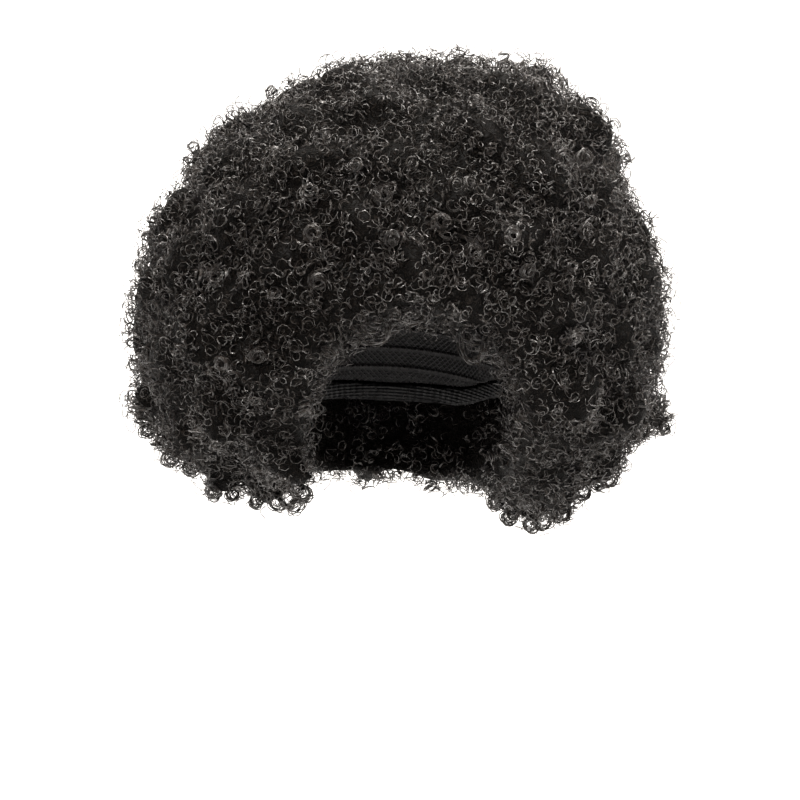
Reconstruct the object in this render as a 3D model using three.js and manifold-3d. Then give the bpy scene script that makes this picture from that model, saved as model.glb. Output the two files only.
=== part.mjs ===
// A big round afro wig: tight curls in six sections round a stretch cap with an elastic edge.
// Millimetres, +Z up. The origin is where the top of the head touches the inside of the cap.
// The wearer looks along -Y, so the wearer's left is +X.

import * as THREE from "three";
import { mergeVertices } from "three/addons/utils/BufferGeometryUtils.js";
import Module from "manifold-3d";

const wasm = await Module();
wasm.setup();

// The inside of the cap, measured from the centre of the head
const headHalfBreadth = 76;
const headFront = 94;
const headBack = 98;
const headDome = 96;
const headLower = 130;

// The cap and its elastic edge
const capWall = 2;
const capDepth = 150;
const bandWidth = 12;
const bandGrip = 0.6;
const clearance = 0.35;
const rimColumns = 32;
const capRowCount = 6;

// The outer form of the hair, measured from the centre of the head to the tips of the locks
const hairHalfWidth = 181;
const hairFront = 160;
const hairBack = 188;
const hairRise = 197;
const hairDrop = 124;

// The opening for the face, and the room behind it for the neck, which is as wide
const faceHalfWidth = 67;
const faceArchRise = 61;
const faceSpringing = 118;
const neckBack = 62;

// The locks
const lockRise = 13;
const lockReach = 35;
const lockGirth = 16;
const lockCount = 150;
const lockSides = 5;

// The sections that the hair is sewn in, and the seam between two of them
const seamGap = 0.5;
const crownAngle = 43;
const napeAboveRim = 22;

// How far down the edge of the cap lies, round from the front, as a share of capDepth
const RIM = [
  { azimuth: 0, drop: 0.34 },
  { azimuth: 28, drop: 0.38 },
  { azimuth: 50, drop: 0.57 },
  { azimuth: 68, drop: 0.76 },
  { azimuth: 92, drop: 0.7 },
  { azimuth: 114, drop: 0.88 },
  { azimuth: 148, drop: 0.98 },
  { azimuth: 180, drop: 1 },
];

// How the hair swells past an even ellipsoid or falls short of it, down from the top
const SWELL = [
  { polar: 0, left: 1.0, right: 1.0, front: 1.0, back: 1.0 },
  { polar: 28, left: 1.08, right: 0.98, front: 1.0, back: 1.0 },
  { polar: 60, left: 0.99, right: 1.01, front: 1.02, back: 1.0 },
  { polar: 90, left: 0.96, right: 1.01, front: 0.98, back: 1.01 },
  { polar: 110, left: 0.97, right: 1.02, front: 0.84, back: 1.02 },
  { polar: 130, left: 0.98, right: 0.97, front: 0.66, back: 1.0 },
  { polar: 180, left: 1.0, right: 1.0, front: 0.8, back: 1.0 },
];

// The opening for the face widens towards the front like a bell. Places are shares of headFront
const FACE_FLARE = [
  { forward: 0.1, scale: 1.0 },
  { forward: 1.0, scale: 1.0 },
  { forward: 1.22, scale: 1.08 },
  { forward: 1.4, scale: 1.26 },
  { forward: 1.52, scale: 1.52 },
  { forward: 1.6, scale: 1.95 },
  { forward: 2.6, scale: 4.2 },
];

// The run of one lock: along the surface as a share of lockReach, out of it and its girth of lockGirth
const LOCK = [
  { along: -0.3, out: -1.2, girth: 0.8 },
  { along: 0.0, out: -0.1, girth: 1.0 },
  { along: 0.6, out: 0.05, girth: 0.72 },
];
const LOCK_TIP = { along: 1.0, out: -0.45 };

// Locks that frame the face, in rows from the hairline out. Places are shares of headFront
const FACE_ROWS = [
  { forward: 1.2, count: 13, size: 0.55 },
  { forward: 1.46, count: 17, size: 0.8 },
];

// Loose curls that hang over the forehead: round from the middle, and how far they hang
const FOREHEAD_CURLS = [
  { azimuth: -17, size: 0.42 },
  { azimuth: 29, size: 0.5 },
];

// The sections below the crown, by their middle and how far they reach to each side of it
const SECTORS = {
  front_hair: { middle: 0, reach: 46 },
  left_hair: { middle: 85, reach: 39 },
  right_hair: { middle: -85, reach: 39 },
  back_hair: { middle: 180, reach: 56 },
};

const hairMaterial = new THREE.MeshStandardMaterial({ color: 0x1c1a19, roughness: 0.55 });
const capMaterial = new THREE.MeshStandardMaterial({ color: 0x151517, roughness: 0.9 });
const bandMaterial = new THREE.MeshStandardMaterial({ color: 0x0f0f11, roughness: 0.7 });

const centre = new THREE.Vector3(0, 0, -headDome);
const radians = THREE.MathUtils.degToRad;

// A number from 0 to 1 that looks random and is the same each time.
function noise(index, salt) {
  const value = Math.sin(index * 12.9898 + salt * 78.233) * 43758.5453;
  return value - Math.floor(value);
}

// A column of a table between its rows, eased at each row.
function between(table, key, place, column) {
  const last = table.length - 1;
  const above = table.findIndex((row) => row[key] >= place);
  if (above === 0) return table[0][column];
  if (above < 0) return table[last][column];
  const [from, to] = [table[above - 1], table[above]];
  const share = THREE.MathUtils.smoothstep(place, from[key], to[key]);
  return THREE.MathUtils.lerp(from[column], to[column], share);
}

// The direction from the centre of the head. Azimuth 0 is the front and 90 the wearer's left.
function direction(polar, azimuth) {
  const [p, a] = [radians(polar), radians(azimuth)];
  return new THREE.Vector3(Math.sin(p) * Math.sin(a), -Math.sin(p) * Math.cos(a), Math.cos(p));
}

function ellipsoidRadius(dir, halfX, halfY, halfZ) {
  return 1 / Math.hypot(dir.x / halfX, dir.y / halfY, dir.z / halfZ);
}

// A point of the head's surface, moved out by offset.
function headPoint(polar, azimuth, offset) {
  const dir = direction(polar, azimuth);
  const depth = dir.y < 0 ? headFront : headBack;
  const height = dir.z > 0 ? headDome : headLower;
  const radius = ellipsoidRadius(dir, headHalfBreadth, depth, height) + offset;
  return centre.clone().addScaledVector(dir, radius);
}

// How far the hair reaches from the centre of the head, with its locks.
function hairRadius(polar, azimuth) {
  const dir = direction(polar, azimuth);
  const depth = dir.y < 0 ? hairFront : hairBack;
  const height = dir.z > 0 ? hairRise : hairDrop;
  const side = between(SWELL, "polar", polar, dir.x < 0 ? "right" : "left");
  const end = between(SWELL, "polar", polar, dir.y < 0 ? "front" : "back");
  const turn = Math.sin(radians(azimuth)) ** 2;
  const swell = THREE.MathUtils.lerp(end, side, turn);
  return ellipsoidRadius(dir, hairHalfWidth, depth, height) * swell;
}

// The polar angle where the edge of the cap lies.
function rimPolar(azimuth) {
  const round = Math.abs(THREE.MathUtils.euclideanModulo(azimuth + 180, 360) - 180);
  const level = capDepth * between(RIM, "azimuth", round, "drop");
  let [high, low] = [0, 180];
  for (let step = 0; step < 24; step += 1) {
    const middle = (high + low) / 2;
    if (-headPoint(middle, azimuth, 0).z < level) high = middle;
    else low = middle;
  }
  return low;
}

// A solid from a closed three.js geometry.
function solidOf(geometry) {
  const bare = geometry.clone();
  bare.deleteAttribute("normal");
  bare.deleteAttribute("uv");
  const merged = mergeVertices(bare, 1e-4);
  const vertProperties = merged.attributes.position.array;
  const triVerts = new Uint32Array(merged.index.array);
  return new wasm.Manifold(new wasm.Mesh({ numProp: 3, vertProperties, triVerts }));
}

// A solid through rings of as many points each. It ends in two points, or meets its first ring.
function loft(rings, ends) {
  const count = rings[0].length;
  const points = rings.flat();
  const index = [];
  const bands = ends ? rings.length - 1 : rings.length;
  for (let ring = 0; ring < bands; ring += 1) {
    const next = (ring + 1) % rings.length;
    for (let i = 0; i < count; i += 1) {
      const j = (i + 1) % count;
      const [a, b] = [ring * count + i, ring * count + j];
      const [c, d] = [next * count + i, next * count + j];
      index.push(a, c, b, b, c, d);
    }
  }
  if (ends) {
    const start = points.push(ends[0]) - 1;
    const finish = points.push(ends[1]) - 1;
    const last = (rings.length - 1) * count;
    for (let i = 0; i < count; i += 1) {
      const j = (i + 1) % count;
      index.push(start, i, j, finish, last + j, last + i);
    }
  }
  const geometry = new THREE.BufferGeometry().setFromPoints(points);
  geometry.setIndex(index);
  return solidOf(geometry);
}

// One ring of points round the head, at polar angles that may differ round it.
function ringRound(columns, pointAt) {
  return Array.from({ length: columns }, (_, i) => pointAt((360 * i) / columns));
}

// A solid whose surface is seen whole from the centre of the head.
function starSolid(columns, rows, pointAt) {
  const rings = [];
  for (let row = 1; row < rows; row += 1) {
    rings.push(ringRound(columns, (azimuth) => pointAt((180 * row) / rows, azimuth)));
  }
  return loft(rings, [pointAt(0, 0), pointAt(180, 0)]);
}

// The polar angles of the rows down the cap and its band, at one place round the head.
function capRows(azimuth) {
  const rim = rimPolar(azimuth);
  const rimRadius = headPoint(rim, azimuth, 0).distanceTo(centre);
  const bandTop = rim - THREE.MathUtils.radToDeg(bandWidth / rimRadius);
  const edge = bandTop - THREE.MathUtils.radToDeg(clearance / rimRadius);
  const wall = Array.from({ length: capRowCount }, (_, row) => (edge * (row + 1)) / capRowCount);
  return { wall, band: [bandTop, rim] };
}

// Rings on the head's surface, one for each row that rowsAt gives at a place round the head.
function headRings(rowsAt, offset) {
  const places = ringRound(rimColumns, (azimuth) => ({ azimuth, rows: rowsAt(azimuth) }));
  return places[0].rows.map((_, row) =>
    places.map(({ azimuth, rows }) => headPoint(rows[row], azimuth, offset)),
  );
}

function makeCap() {
  const rowsAt = (azimuth) => capRows(azimuth).wall;
  const outside = headRings(rowsAt, capWall);
  const inside = headRings(rowsAt, 0).reverse();
  return loft([...outside, ...inside], [headPoint(0, 0, capWall), headPoint(0, 0, 0)]);
}

function makeBand() {
  const rowsAt = (azimuth) => capRows(azimuth).band;
  const outside = headRings(rowsAt, capWall);
  const inside = headRings(rowsAt, -bandGrip).reverse();
  return loft([...outside, ...inside]);
}

// What the hair leaves free for the cap, its band and the head below them.
function makeHeadRoom() {
  const belowRim = [0.25, 0.5, 0.75];
  const rowsAt = (azimuth) => {
    const { wall, band } = capRows(azimuth);
    const below = belowRim.map((share) => THREE.MathUtils.lerp(band[1], 180, share));
    return [...wall, ...band, ...below];
  };
  const offset = capWall + clearance;
  return loft(headRings(rowsAt, offset), [headPoint(0, 0, offset), headPoint(180, 0, offset)]);
}

// The outline of the face opening at one place, as points from one foot over the arch to the other.
function facePoint(turn, forward) {
  const scale = between(FACE_FLARE, "forward", forward, "scale");
  const angle = radians(turn);
  const x = faceHalfWidth * scale * Math.sin(angle);
  const rise = faceArchRise * scale * Math.cos(angle);
  return new THREE.Vector3(x, -headFront * forward, rise - faceSpringing);
}

// What the hair leaves free in front: the face, the chin and the room before them.
function makeFaceRoom() {
  const steps = 12;
  const floor = hairDrop * 3;
  const rings = FACE_FLARE.map(({ forward }) => {
    const arch = Array.from({ length: steps + 1 }, (_, i) => facePoint((180 * i) / steps - 90, forward));
    const feet = [arch[steps], arch[0]].map((point) => point.clone().setZ(-floor));
    return [...arch, ...feet];
  });
  const ends = [rings[0], rings[rings.length - 1]].map((ring) =>
    new THREE.Vector3(0, ring[0].y, -faceSpringing),
  );
  return loft(rings, ends);
}

// What the hair leaves free behind the face: the neck.
function makeNeckRoom() {
  const outline = new THREE.Shape();
  outline.moveTo(-faceHalfWidth, -headFront);
  outline.lineTo(faceHalfWidth, -headFront);
  outline.lineTo(faceHalfWidth, 0);
  outline.absellipse(0, 0, faceHalfWidth, neckBack, 0, Math.PI, false, 0);
  const depth = hairDrop * 3;
  const column = new THREE.ExtrudeGeometry(outline, { depth, bevelEnabled: false, curveSegments: 10 });
  return solidOf(column.translate(0, 0, -faceSpringing - depth));
}

// One lock, rooted in the surface at a point and laid over in one direction.
function makeLock(root, out, along, size) {
  const across = new THREE.Vector3().crossVectors(along, out).normalize();
  const at = (station) =>
    root
      .clone()
      .addScaledVector(along, station.along * lockReach * size)
      .addScaledVector(out, station.out * lockRise * size);
  const line = [...LOCK, LOCK_TIP].map(at);
  const rings = LOCK.map(({ girth }, i) => {
    const before = line[Math.max(i - 1, 0)];
    const ahead = new THREE.Vector3().subVectors(line[i + 1], before).normalize();
    const upward = new THREE.Vector3().crossVectors(ahead, across);
    const radius = girth * lockGirth * size;
    return Array.from({ length: lockSides }, (_, side) => {
      const angle = (-2 * Math.PI * side) / lockSides;
      return line[i]
        .clone()
        .addScaledVector(across, radius * Math.cos(angle))
        .addScaledVector(upward, radius * Math.sin(angle));
    });
  });
  return loft(rings, [line[0], line[line.length - 1]]);
}

// A direction along the surface: mostly down, and turned some way to the side.
function layOver(out, index) {
  const down = new THREE.Vector3(0, 0, -1).addScaledVector(out, out.z);
  if (down.length() < 0.2) down.set(1, 0, 0).addScaledVector(out, -out.x);
  const turn = (noise(index, 1) - 0.5) * 1.3 * Math.PI;
  return down.normalize().applyAxisAngle(out, turn);
}

// How deep a point lies under the tips of the locks.
function depthInHair(point) {
  const dir = point.clone().sub(centre);
  const polar = THREE.MathUtils.radToDeg(dir.angleTo(new THREE.Vector3(0, 0, 1)));
  const azimuth = THREE.MathUtils.radToDeg(Math.atan2(dir.x, -dir.y));
  return hairRadius(polar, azimuth) - dir.length();
}

function inFaceRoom(point, margin) {
  const forward = -point.y / headFront;
  if (forward < FACE_FLARE[0].forward) return false;
  const scale = between(FACE_FLARE, "forward", forward, "scale");
  const across = Math.abs(point.x) / (faceHalfWidth * scale + margin);
  const height = (point.z + faceSpringing) / (faceArchRise * scale + margin);
  return height > 0 ? Math.hypot(across, height) < 1 : across < 1;
}

function inNeckRoom(point, margin) {
  const across = point.x / (faceHalfWidth + margin);
  const back = Math.max(point.y, 0) / (neckBack + margin);
  return point.z < -faceSpringing && Math.hypot(across, back) < 1;
}

// Locks spread evenly over the outside, by the golden angle.
function outerLocks() {
  const goldenAngle = 180 * (3 - Math.sqrt(5));
  const locks = [];
  for (let i = 0; i < lockCount; i += 1) {
    const polar = THREE.MathUtils.radToDeg(Math.acos(1 - (2 * i + 1) / lockCount));
    const azimuth = THREE.MathUtils.euclideanModulo(i * goldenAngle + 180, 360) - 180;
    const dir = direction(polar, azimuth);
    const root = centre.clone().addScaledVector(dir, hairRadius(polar, azimuth) - lockRise);
    if (inFaceRoom(root, lockGirth) || inNeckRoom(root, lockGirth)) continue;
    const size = 0.85 + 0.3 * noise(i, 2);
    locks.push(makeLock(root, dir, layOver(dir, i), size));
  }
  return locks;
}

// The way out of the hair at a place on the opening for the face.
function faceNormal(turn, forward) {
  const step = 0.05;
  const ahead = facePoint(turn, forward + step).sub(facePoint(turn, forward - step));
  const inward = facePoint(turn, forward).setY(0).add(new THREE.Vector3(0, 0, faceSpringing)).negate();
  return inward.addScaledVector(ahead, -inward.dot(ahead) / ahead.lengthSq()).normalize();
}

// Locks in rows round the opening for the face: over the arch, then down both its legs.
function faceLocks() {
  const sweep = 125;
  const downPerDegree = 0.03 * faceHalfWidth;
  const locks = [];
  FACE_ROWS.forEach(({ forward, count, size }, row) => {
    for (let i = 0; i < count; i += 1) {
      const turn = sweep * ((2 * i + 1) / count - 1);
      const overArch = THREE.MathUtils.clamp(turn, -90, 90);
      const root = facePoint(overArch, forward);
      root.z -= downPerDegree * Math.abs(turn - overArch);
      if (depthInHair(root) < lockRise) continue;
      const out = faceNormal(overArch, forward);
      locks.push(makeLock(root, out, layOver(out, i + 50 * row), size));
    }
  });
  return locks;
}

function foreheadCurls() {
  return FOREHEAD_CURLS.map(({ azimuth, size }) => {
    const root = facePoint(azimuth * 1.2, 1.03);
    return makeLock(root, new THREE.Vector3(0, -1, 0), new THREE.Vector3(0, 0, -1), size);
  });
}

// The room of the crown, or all but it, as a cone round the top.
function crownRoom(angle) {
  const reach = hairRise * 2;
  const profile = [
    new THREE.Vector2(0, 0),
    new THREE.Vector2(reach * Math.tan(radians(angle)), reach),
    new THREE.Vector2(0, reach),
  ];
  const cone = new THREE.LatheGeometry(profile, 36).rotateX(Math.PI / 2);
  return solidOf(cone.translate(0, 0, centre.z));
}

// A standing wedge round the centre of the head, kept half a seam clear of its neighbours.
function sectorRoom({ middle, reach }) {
  const setBack = seamGap / 2 / Math.sin(radians(reach));
  const far = hairBack * 3;
  const outline = new THREE.Shape();
  const corner = (angle, radius) => {
    const dir = direction(90, middle + angle);
    const start = direction(90, middle).multiplyScalar(setBack);
    return [start.x + dir.x * radius, start.y + dir.y * radius];
  };
  outline.moveTo(...corner(0, 0));
  outline.lineTo(...corner(-reach, far));
  outline.lineTo(...corner(reach, far));
  const depth = hairRise * 4;
  const wedge = new THREE.ExtrudeGeometry(outline, { depth, bevelEnabled: false });
  return solidOf(wedge.translate(0, 0, centre.z - depth / 2));
}

function slab(low, high) {
  const width = hairBack * 4;
  const box = new THREE.BoxGeometry(width, width, high - low);
  return solidOf(box.translate(0, 0, (low + high) / 2));
}

// The rooms that the hair is parted into, by the name of the section.
function sectionRooms() {
  const seamAngle = THREE.MathUtils.radToDeg(seamGap / 2 / headDome);
  const crown = crownRoom(crownAngle - seamAngle);
  const notCrown = crownRoom(crownAngle + seamAngle);
  const rooms = { crown_hair: crown };
  for (const [name, sector] of Object.entries(SECTORS)) {
    rooms[name] = sectorRoom(sector).subtract(notCrown);
  }
  const reach = hairRise * 2;
  const napeTop = capDepth - napeAboveRim;
  const whole = rooms.back_hair;
  rooms.back_hair = whole.intersect(slab(-napeTop + seamGap / 2, reach));
  rooms.nape_hair = whole.intersect(slab(-reach, -napeTop - seamGap / 2));
  return rooms;
}

// The outer skin of a solid: pockets that its locks shut in are filled.
function filled(solid) {
  const skins = solid.decompose();
  return skins.reduce((largest, skin) => (skin.volume() > largest.volume() ? skin : largest));
}

function makeHair() {
  const surface = (polar, azimuth) =>
    centre.clone().addScaledVector(direction(polar, azimuth), hairRadius(polar, azimuth) - lockRise);
  const body = starSolid(32, 14, surface).subtract(makeFaceRoom());
  const locks = [...outerLocks(), ...faceLocks(), ...foreheadCurls()];
  const mass = wasm.Manifold.union([body, ...locks]).subtract(makeHeadRoom().add(makeNeckRoom()));
  const sections = {};
  for (const [name, room] of Object.entries(sectionRooms())) {
    sections[name] = filled(mass.intersect(room));
  }
  return sections;
}

function namedMesh(name, solid, material) {
  const made = solid.getMesh();
  const geometry = new THREE.BufferGeometry();
  geometry.setAttribute("position", new THREE.BufferAttribute(made.vertProperties, 3));
  geometry.setIndex(new THREE.BufferAttribute(made.triVerts, 1));
  geometry.computeVertexNormals();
  const mesh = new THREE.Mesh(geometry, material);
  mesh.name = name;
  return mesh;
}

const wig = new THREE.Group();
wig.name = "afro_wig";
wig.add(namedMesh("cap", makeCap(), capMaterial));
wig.add(namedMesh("rim_band", makeBand(), bandMaterial));
const hair = new THREE.Group();
for (const [name, section] of Object.entries(makeHair())) {
  hair.add(namedMesh(name, section, hairMaterial));
}
wig.add(hair);

export default wig;
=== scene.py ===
"""Dresses the afro wig: a dark fleece of fine curls under strands and ringlets, on a net cap.

Metres, in the frame of the model: the origin is where the head touches the inside of the cap,
+Z is up and the wearer looks along -Y.
"""

import math

import bpy
import numpy as np
from bpy.props import (
    FloatProperty,
    FloatVectorProperty,
    IntProperty,
    PointerProperty,
)
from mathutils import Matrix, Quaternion, Vector
from mathutils.bvhtree import BVHTree


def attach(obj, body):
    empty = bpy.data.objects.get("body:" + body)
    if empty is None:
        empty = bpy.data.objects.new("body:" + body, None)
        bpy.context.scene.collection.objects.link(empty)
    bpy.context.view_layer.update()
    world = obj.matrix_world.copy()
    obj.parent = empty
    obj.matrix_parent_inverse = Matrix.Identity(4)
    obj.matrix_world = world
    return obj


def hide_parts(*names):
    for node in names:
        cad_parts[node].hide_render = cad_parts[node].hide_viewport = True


bl_info = {
    "name": "Afro Wig",
    "version": (1, 0, 0),
    "blender": (4, 5, 0),
    "location": "3D View > Sidebar > Wig",
    "description": "Dresses the wig's frame in curls, net and elastic",
    "category": "Object",
}

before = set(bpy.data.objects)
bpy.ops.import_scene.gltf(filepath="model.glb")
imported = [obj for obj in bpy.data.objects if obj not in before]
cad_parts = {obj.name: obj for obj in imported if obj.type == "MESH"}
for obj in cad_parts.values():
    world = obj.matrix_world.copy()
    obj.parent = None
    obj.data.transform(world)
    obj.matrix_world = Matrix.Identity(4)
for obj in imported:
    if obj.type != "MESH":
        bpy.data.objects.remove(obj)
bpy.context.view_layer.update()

HAIR_SECTIONS = ("crown_hair", "front_hair", "left_hair", "right_hair", "back_hair", "nape_hair")
HEAD_CENTRE = Vector((0.0, 0.0, -0.096))


# Settings


class WigHairSettings(bpy.types.PropertyGroup):
    """Sizes and colours of the hair"""

    sink: FloatProperty(
        name="Fleece depth",
        description="How far the dark fleece lies under the tips of the locks",
        default=0.0022,
        unit="LENGTH",
    )
    grain: FloatProperty(
        name="Fleece grain",
        description="Voxel size that the fleece is made at",
        default=0.0045,
        unit="LENGTH",
    )
    density: FloatProperty(
        name="Curl density",
        description="How many curls grow on a patch, where the wig's own number is 1",
        default=1.0,
        min=0.1,
    )
    thickness: FloatProperty(
        name="Strand thickness",
        description="How thick the strands are, where the wig's own thickness is 1",
        default=1.0,
        min=0.1,
    )
    seed: IntProperty(
        name="Seed",
        description="Changes where each curl lies",
        default=7,
    )
    dark: FloatVectorProperty(
        name="Deep colour",
        description="Colour of the darkest strands",
        default=(0.0020, 0.0015, 0.0013),
        subtype="COLOR",
    )
    light: FloatVectorProperty(
        name="Light colour",
        description="Colour of the lightest strands",
        default=(0.011, 0.0080, 0.0064),
        subtype="COLOR",
    )


class WigCapSettings(bpy.types.PropertyGroup):
    """Sizes of the cap's fabrics"""

    net: FloatProperty(
        name="Net spacing",
        description="From one thread of the net to the next",
        default=0.0038,
        unit="LENGTH",
    )
    weft: FloatProperty(
        name="Weft spacing",
        description="From one sewn row of hair to the next",
        default=0.013,
        unit="LENGTH",
    )
    rib: FloatProperty(
        name="Rib spacing",
        description="From one rib of the elastic to the next",
        default=0.0021,
        unit="LENGTH",
    )


class WigStageSettings(bpy.types.PropertyGroup):
    """Camera, lights and floor"""

    azimuth: FloatProperty(
        name="Azimuth",
        description="Where the camera stands round the wig, from straight in front",
        default=math.radians(-6),
        subtype="ANGLE",
    )
    elevation: FloatProperty(
        name="Elevation",
        description="How far above the wig's middle the camera stands",
        default=math.radians(12),
        subtype="ANGLE",
    )
    roll: FloatProperty(
        name="Roll",
        description="How far the wig looks turned clockwise",
        default=math.radians(3.9),
        subtype="ANGLE",
    )
    distance: FloatProperty(
        name="Distance",
        description="From the camera to the middle of the head",
        default=2.2,
        unit="LENGTH",
    )
    drop: FloatProperty(
        name="Aim below the head's middle",
        description="How far below the middle of the head the camera points",
        default=0.033,
        unit="LENGTH",
    )
    floor: FloatProperty(
        name="Floor height",
        description="Height of the floor in the wig's frame",
        default=-0.62,
        unit="LENGTH",
    )


# Trees of nodes


class Wire:
    """A socket that sums are written on: each one adds its Math or Vector Math node."""

    def __init__(self, sketch, socket):
        self.sketch = sketch
        self.socket = socket

    def of(self, name):
        """Another output of the same node."""
        return Wire(self.sketch, self.socket.node.outputs[name])

    def __add__(self, other):
        return self.sketch.sum("ADD", self, other)

    def __sub__(self, other):
        return self.sketch.sum("SUBTRACT", self, other)

    def __rsub__(self, other):
        return self.sketch.sum("SUBTRACT", other, self)

    def __mul__(self, other):
        return self.sketch.sum("MULTIPLY", self, other)

    def __rtruediv__(self, other):
        return self.sketch.sum("DIVIDE", other, self)

    def __pow__(self, other):
        return self.sketch.sum("POWER", self, other)


class Sketch:
    """Builds one shader or geometry tree."""

    def __init__(self, tree):
        self.tree = tree

    def add(self, kind, settings=None, inputs=None, output=0):
        """A node of this type, with its settings made first, then its sockets' values or links."""
        node = self.tree.nodes.new(kind)
        for name, value in (settings or {}).items():
            setattr(node, name, value)
        for name, value in (inputs or {}).items():
            if isinstance(value, Wire):
                self.tree.links.new(value.socket, node.inputs[name])
            else:
                node.inputs[name].default_value = value
        return Wire(self, node.outputs[output]) if len(node.outputs) else None

    def sum(self, operation, first, second):
        """A sum of two numbers or of two vectors, or a vector times a number."""
        terms = (first, second)
        vectors = [isinstance(t, Wire) and t.socket.type in ("VECTOR", "RGBA") for t in terms]
        if not any(vectors):
            return self.maths(operation, first, second)
        if operation == "MULTIPLY" and not all(vectors):
            vector, number = (first, second) if vectors[0] else (second, first)
            if not isinstance(number, (tuple, Vector)):
                return self.vectors("SCALE", {0: vector, "Scale": number})
        return self.vectors(operation, {0: first, 1: second})

    def maths(self, operation, *values):
        """A Math node on these numbers."""
        return self.add("ShaderNodeMath", {"operation": operation}, dict(enumerate(values)))

    def vectors(self, operation, inputs, output="Vector"):
        """A Vector Math node on these inputs."""
        return self.add("ShaderNodeVectorMath", {"operation": operation}, inputs, output)

    def unit(self, vector):
        return self.vectors("NORMALIZE", {0: vector})

    def cross(self, first, second):
        return self.vectors("CROSS_PRODUCT", {0: first, 1: second})

    def dot(self, first, second):
        return self.vectors("DOT_PRODUCT", {0: first, 1: second}, "Value")


# The curls, by geometry nodes

CURL_SIZES = (
    ("Density", "NodeSocketFloat"),
    ("Seed", "NodeSocketInt"),
    ("Strands", "NodeSocketInt"),
    ("Steps", "NodeSocketInt"),
    ("Turns low", "NodeSocketFloat"),
    ("Turns high", "NodeSocketFloat"),
    ("Radius low", "NodeSocketFloat"),
    ("Radius high", "NodeSocketFloat"),
    ("Length low", "NodeSocketFloat"),
    ("Length high", "NodeSocketFloat"),
    ("Tilt low", "NodeSocketFloat"),
    ("Tilt high", "NodeSocketFloat"),
    ("Sink", "NodeSocketFloat"),
    ("Hang", "NodeSocketFloat"),
    ("Cone", "NodeSocketFloat"),
    ("Thickness", "NodeSocketFloat"),
    ("Spread", "NodeSocketFloat"),
    ("Crimp", "NodeSocketFloat"),
)


# The Random Value node has its own sockets for numbers and for vectors. These are the place of
# the lowest value among the inputs, with the highest after it, and of the result.
RANDOM_SOCKETS = {"FLOAT": (2, 1), "FLOAT_VECTOR": (0, 0)}


class CurlSketch(Sketch):
    """The words that the curls' tree is written in."""

    def chance(self, low, high, salt, kind="FLOAT"):
        """A number for each curl between low and high, or a vector with its parts between them."""
        first, output = RANDOM_SOCKETS[kind]
        inputs = {first: low, first + 1: high, "Seed": self.seed + salt}
        return self.add("FunctionNodeRandomValue", {"data_type": kind}, inputs, output)

    def keep(self, geometry, name, value, kind="FLOAT", domain="POINT"):
        """Stores a value on the geometry under a name."""
        settings = {"data_type": kind, "domain": domain}
        inputs = {"Geometry": geometry, "Name": name, "Value": value}
        return self.add("GeometryNodeStoreNamedAttribute", settings, inputs)

    def kept(self, name, kind="FLOAT"):
        """Reads a value that was stored under a name."""
        settings = {"data_type": kind}
        return self.add("GeometryNodeInputNamedAttribute", settings, {"Name": name})

    def tubes(self, strands, thickness, drop, material):
        """Round strands that thin out to their tips, with tone and place along them as the chart."""
        along = self.add("GeometryNodeSplineParameter")
        strands = self.keep(strands, "along", along)
        taper = self.add(
            "ShaderNodeMapRange",
            None,
            {"Value": along, "From Min": 0.6, "From Max": 1.0, "To Min": 0.5, "To Max": 0.22},
        )
        ring = self.add("GeometryNodeCurvePrimitiveCircle", None, {"Resolution": 3, "Radius": 1.0})
        ring = self.keep(ring, "around", self.add("GeometryNodeSplineParameter"))
        shape = {
            "Curve": strands,
            "Profile Curve": ring,
            "Scale": thickness * taper,
            "Fill Caps": True,
        }
        body = self.add("GeometryNodeCurveToMesh", None, shape)
        across = self.kept("tone") * 0.9 + self.kept("around") * 0.05
        chart = self.add("ShaderNodeCombineXYZ", None, {"X": across, "Y": self.kept("along")})
        body = self.keep(body, "OFBake", chart, "FLOAT2", "CORNER")
        for name in ("tone", "along", "around", *drop):
            body = self.add("GeometryNodeRemoveAttribute", None, {"Geometry": body, "Name": name})
        body = self.add("GeometryNodeSetShadeSmooth", None, {"Geometry": body})
        body = self.add("GeometryNodeRealizeInstances", None, {"Geometry": body})
        return self.add(
            "GeometryNodeSetMaterial", None, {"Geometry": body, "Material": material}
        )


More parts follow.
